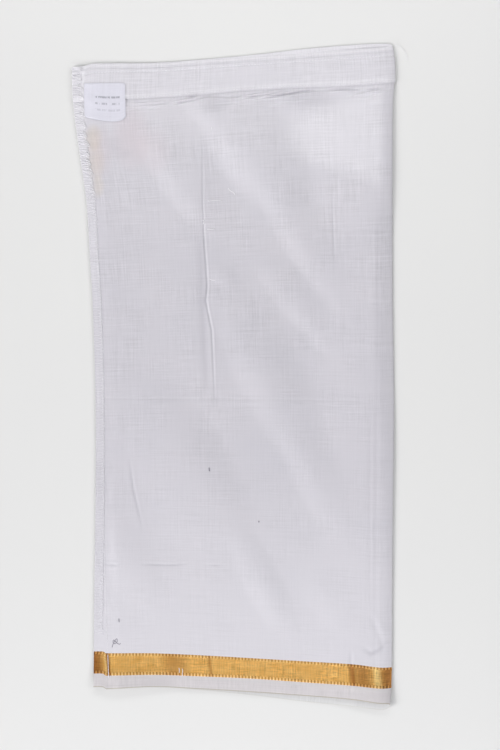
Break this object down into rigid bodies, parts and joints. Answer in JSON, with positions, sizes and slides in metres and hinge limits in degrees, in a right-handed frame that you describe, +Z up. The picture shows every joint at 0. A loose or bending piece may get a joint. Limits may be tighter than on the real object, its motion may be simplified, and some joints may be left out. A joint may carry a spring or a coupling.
{
  "type": "child's stitched dhoti, laid flat",
  "caption": "Child's stitched dhoti laid flat wrong side out: sheer white tube with waist casing, gold zari border, overlocked side seam and satin label.",
  "frame": {"origin": "centre of the garment's underside, where it lies on the surface", "axes": "+Y up the garment from hem to waist, +Z up off the surface, +X from the side seam to the folded edge"},
  "size_m": [0.258, 0.5326, 0.0063],
  "materials": {
    "white_cloth": "fine silk-cotton plain weave, slightly silky",
    "zari_gold": "woven metallic gold thread, soft sheen",
    "sheer_selvedge": "open sheer plain weave",
    "satin_label": "smooth satin ribbon"
  },
  "bodies": {
    "root": {"front_panel": "white_cloth", "back_panel": "white_cloth", "side_seam": "white_cloth", "front_waist_casing": "white_cloth", "back_waist_casing": "white_cloth", "side_seam_waist": "white_cloth", "front_zari_border": "zari_gold", "back_zari_border": "zari_gold", "side_seam_border": "zari_gold", "front_selvedge": "sheer_selvedge", "back_selvedge": "sheer_selvedge", "side_seam_selvedge": "sheer_selvedge", "care_label": "satin_label"}
  },
  "joints": []
}
